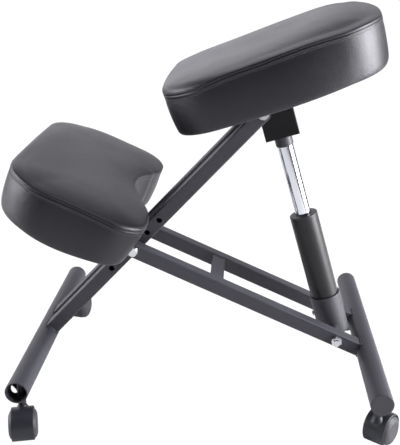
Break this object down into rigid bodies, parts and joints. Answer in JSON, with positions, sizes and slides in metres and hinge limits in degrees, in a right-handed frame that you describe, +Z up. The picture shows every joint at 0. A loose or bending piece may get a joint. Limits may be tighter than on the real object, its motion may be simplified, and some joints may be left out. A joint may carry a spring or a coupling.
{
  "type": "kneeling chair",
  "caption": "Kneeling chair with black padded seat and knee pad on a crossed steel-tube frame, a gas lift and twin-wheel casters.",
  "frame": {"origin": "on the floor, under the centre of the chair's overall box", "axes": "+X across the chair to the sitter's left, +Y to the rear, +Z up"},
  "size_m": [0.5314, 0.6628, 0.6864],
  "materials": {
    "black_powder_coat": "fine-textured satin black powder coat",
    "black_enamel": "smooth semi-gloss black enamel",
    "chromed_steel": "polished chrome",
    "zinc_steel": "bright zinc plate",
    "black_plastic": "moulded matte black",
    "black_leatherette": "smooth black artificial leather with a soft sheen",
    "board_underside": "plywood under black non-woven dust cloth",
    "caster_plastic": "moulded black nylon, slight gloss",
    "caster_tread": "moulded dark grey-black nylon wheel",
    "caster_steel": "plain steel"
  },
  "bodies": {
    "rear_frame": {"rear_crossbar": "black_powder_coat", "rear_bar_caps": "black_plastic", "rear_caster_sockets": "zinc_steel", "rail_left": "black_powder_coat", "rail_right": "black_powder_coat", "rail_plugs": "black_plastic", "rail_strap": "black_powder_coat", "rail_bolts": "zinc_steel", "rail_nuts": "zinc_steel", "fold_spacers": "black_plastic", "lift_spacers": "black_plastic", "knee_cross_plates": "black_powder_coat", "knee_screws": "zinc_steel", "knee_board": "board_underside", "knee_cushion": "black_leatherette"},
    "front_frame": {"front_crossbar": "black_powder_coat", "front_bar_cap": "black_plastic", "front_caster_sockets": "zinc_steel", "arm_left": "black_powder_coat", "arm_right": "black_powder_coat", "seat_pivot_bolt": "zinc_steel", "seat_pivot_nut": "zinc_steel"},
    "lift_cylinder": {"lift_column": "black_enamel", "lift_guide_bush": "black_plastic", "lift_piston_rod": "zinc_steel", "lift_retaining_clip": "zinc_steel", "lift_socket": "black_powder_coat", "socket_screw": "zinc_steel"},
    "seat": {"seat_bracket": "black_powder_coat", "seat_plate": "black_powder_coat", "seat_screws": "zinc_steel", "seat_board": "board_underside", "seat_cushion": "black_leatherette", "lift_collar": "black_plastic", "lift_pressure_tube": "chromed_steel", "lift_rod_guide": "black_plastic", "lever_pin": "zinc_steel"},
    "lever": {"release_lever": "black_powder_coat", "lever_paddle": "black_plastic"},
    "valve": {"valve_button": "zinc_steel"},
    "front_left_caster": {"front_left_caster_hood": "caster_plastic", "front_left_caster_stem": "caster_steel", "front_left_caster_axle": "caster_steel"},
    "front_left_wheel_a": {"front_left_caster_wheel_a": "caster_tread"},
    "front_left_wheel_b": {"front_left_caster_wheel_b": "caster_tread"},
    "front_right_caster": {"front_right_caster_hood": "caster_plastic", "front_right_caster_stem": "caster_steel", "front_right_caster_axle": "caster_steel"},
    "front_right_wheel_a": {"front_right_caster_wheel_a": "caster_tread"},
    "front_right_wheel_b": {"front_right_caster_wheel_b": "caster_tread"},
    "rear_left_caster": {"rear_left_caster_hood": "caster_plastic", "rear_left_caster_stem": "caster_steel", "rear_left_caster_axle": "caster_steel"},
    "rear_left_wheel_a": {"rear_left_caster_wheel_a": "caster_tread"},
    "rear_left_wheel_b": {"rear_left_caster_wheel_b": "caster_tread"},
    "rear_right_caster": {"rear_right_caster_hood": "caster_plastic", "rear_right_caster_stem": "caster_steel", "rear_right_caster_axle": "caster_steel"},
    "rear_right_wheel_a": {"rear_right_caster_wheel_a": "caster_tread"},
    "rear_right_wheel_b": {"rear_right_caster_wheel_b": "caster_tread"}
  },
  "joints": [
    {"name": "seat_height", "type": "slide", "parent": "lift_cylinder", "child": "seat", "axis": [0, -0.284, 0.9588], "range_m": [-0.1, 0]},
    {"name": "scissor_fold", "type": "hinge", "parent": "rear_frame", "child": "front_frame", "pos_m": [0, -0.12732, 0.27653], "axis": [1, 0, 0], "range_deg": [-19.2, 0]},
    {"name": "lift_tilt", "type": "hinge", "parent": "rear_frame", "child": "lift_cylinder", "pos_m": [0, 0.23465, 0.11386], "axis": [1, 0, 0], "range_deg": [-7.1, 0]},
    {"name": "lever_pull", "type": "hinge", "parent": "seat", "child": "lever", "pos_m": [-0.01, 0.12437, 0.48614], "axis": [0, 0.9588, 0.284], "range_deg": [0, 8], "stiffness_Nm_per_rad": 1.5, "springref_deg": -8.59},
    {"name": "valve_press", "type": "slide", "parent": "seat", "child": "valve", "axis": [0, -0.284, 0.9588], "range_m": [-0.0018, 0]},
    {"name": "front_left_caster_swivel", "type": "hinge", "parent": "front_frame", "child": "front_left_caster", "pos_m": [0.219, -0.2994, 0], "axis": [0, 0, 1], "continuous": true},
    {"name": "front_left_wheel_a_roll", "type": "hinge", "parent": "front_left_caster", "child": "front_left_wheel_a", "pos_m": [0.23362, -0.29602, 0.025], "axis": [0.225, -0.9744, 0], "continuous": true},
    {"name": "front_left_wheel_b_roll", "type": "hinge", "parent": "front_left_caster", "child": "front_left_wheel_b", "pos_m": [0.23362, -0.29602, 0.025], "axis": [0.225, -0.9744, 0], "continuous": true},
    {"name": "front_right_caster_swivel", "type": "hinge", "parent": "front_frame", "child": "front_right_caster", "pos_m": [-0.219, -0.2994, 0], "axis": [0, 0, 1], "continuous": true},
    {"name": "front_right_wheel_a_roll", "type": "hinge", "parent": "front_right_caster", "child": "front_right_wheel_a", "pos_m": [-0.23362, -0.29602, 0.025], "axis": [0.225, 0.9744, 0], "continuous": true},
    {"name": "front_right_wheel_b_roll", "type": "hinge", "parent": "front_right_caster", "child": "front_right_wheel_b", "pos_m": [-0.23362, -0.29602, 0.025], "axis": [0.225, 0.9744, 0], "continuous": true},
    {"name": "rear_left_caster_swivel", "type": "hinge", "parent": "rear_frame", "child": "rear_left_caster", "pos_m": [0.219, 0.2906, 0], "axis": [0, 0, 1], "continuous": true},
    {"name": "rear_left_wheel_a_roll", "type": "hinge", "parent": "rear_left_caster", "child": "rear_left_wheel_a", "pos_m": [0.20702, 0.29963, 0.025], "axis": [0.6018, 0.7986, 0], "continuous": true},
    {"name": "rear_left_wheel_b_roll", "type": "hinge", "parent": "rear_left_caster", "child": "rear_left_wheel_b", "pos_m": [0.20702, 0.29963, 0.025], "axis": [0.6018, 0.7986, 0], "continuous": true},
    {"name": "rear_right_caster_swivel", "type": "hinge", "parent": "rear_frame", "child": "rear_right_caster", "pos_m": [-0.219, 0.2906, 0], "axis": [0, 0, 1], "continuous": true},
    {"name": "rear_right_wheel_a_roll", "type": "hinge", "parent": "rear_right_caster", "child": "rear_right_wheel_a", "pos_m": [-0.20702, 0.29963, 0.025], "axis": [0.6018, -0.7986, 0], "continuous": true},
    {"name": "rear_right_wheel_b_roll", "type": "hinge", "parent": "rear_right_caster", "child": "rear_right_wheel_b", "pos_m": [-0.20702, 0.29963, 0.025], "axis": [0.6018, -0.7986, 0], "continuous": true}
  ],
  "couplings": [
    {"joint": "scissor_fold", "follows": "seat_height", "rad_per_m": 3.3293},
    {"joint": "lift_tilt", "follows": "seat_height", "rad_per_m": 1.2155},
    {"joint": "valve_press", "follows": "lever_pull", "m_per_rad": -0.0125}
  ]
}
